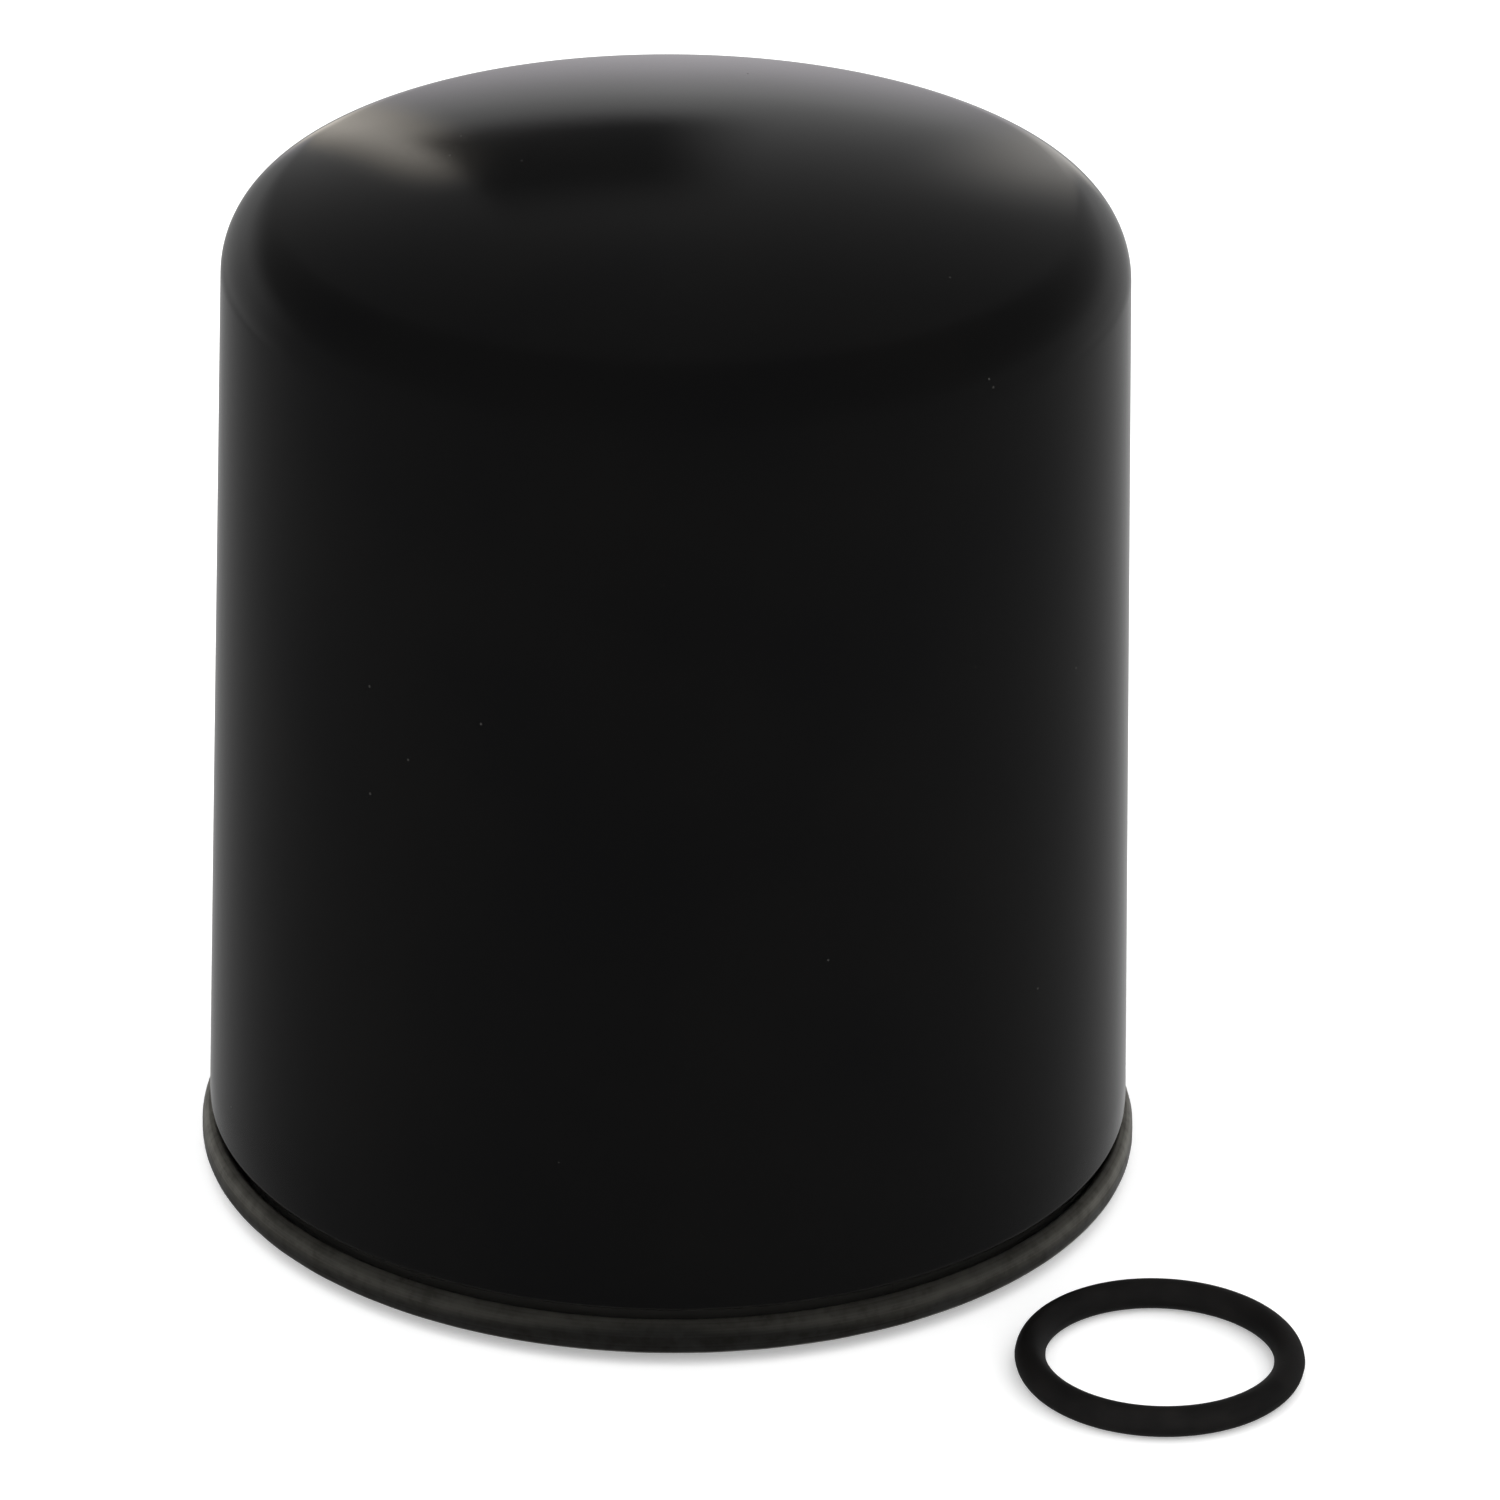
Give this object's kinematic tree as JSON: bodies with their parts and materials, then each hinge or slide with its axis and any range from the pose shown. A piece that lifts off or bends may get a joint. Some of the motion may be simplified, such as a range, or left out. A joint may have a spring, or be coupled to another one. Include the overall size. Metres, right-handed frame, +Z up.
{
  "type": "oil filter",
  "caption": "Spin-on oil filter: black domed can on a rolled seam ring, threaded base with gasket, pleated element, bypass and anti-drain valves, and a loose O-ring.",
  "frame": {"origin": "mouth of the threaded hole, on the filter's axis, at the base plate's outer face", "axes": "+Z up the filter's axis to its dome, so the engine's stud leaves along -Z; the loose O-ring lies towards +X and -Y"},
  "size_m": [0.0879, 0.0871, 0.0865],
  "materials": {
    "black_paint": "satin",
    "bare_steel": "dull oiled steel",
    "sealing_compound": "soft seaming compound",
    "phosphated_steel": "oiled steel",
    "gasket_rubber": "smooth moulded rubber",
    "valve_rubber": "moulded nitrile rubber",
    "tinned_steel": "tin plate",
    "bond_adhesive": "cured plastisol",
    "filter_paper": "resin-treated paper",
    "moulded_nylon": "moulded nylon",
    "spring_steel": "drawn spring wire",
    "o_ring_rubber": "matt nitrile rubber"
  },
  "bodies": {
    "filter": {"can": "black_paint", "seam_ring": "bare_steel", "seam_sealant": "sealing_compound", "tapping_plate": "phosphated_steel", "base_gasket": "gasket_rubber", "anti_drain_cuff": "valve_rubber", "lower_end_cap": "tinned_steel", "upper_end_cap": "tinned_steel", "lower_bond": "bond_adhesive", "upper_bond": "bond_adhesive", "centre_tube": "tinned_steel", "filter_pleats": "filter_paper", "pleat_clip": "tinned_steel", "bypass_seat": "tinned_steel", "bypass_seal": "valve_rubber", "bypass_spring": "spring_steel", "bypass_cage": "tinned_steel", "element_spring": "spring_steel"},
    "bypass_valve": {"bypass_poppet": "moulded_nylon"},
    "drain_valve_skirt": {"anti_drain_flap": "valve_rubber"},
    "loose_seal": {"o_ring": "o_ring_rubber"}
  },
  "joints": [
    {"name": "bypass_lift", "type": "slide", "parent": "filter", "child": "bypass_valve", "axis": [0, 0, -1], "range_m": [0, 0.0025], "stiffness_N_per_m": 2200, "springref_m": -0.005, "deforming": ["bypass_spring"]},
    {"name": "drain_skirt_lift", "type": "slide", "parent": "filter", "child": "drain_valve_skirt", "axis": [0, 0, 1], "range_m": [0, 0.002], "stiffness_N_per_m": 60, "springref_m": -0.001},
    {"name": "loose_seal_lift", "type": "slide", "parent": "filter", "child": "loose_seal", "axis": [0, 0, 1], "range_m": [0, 0.04]}
  ]
}
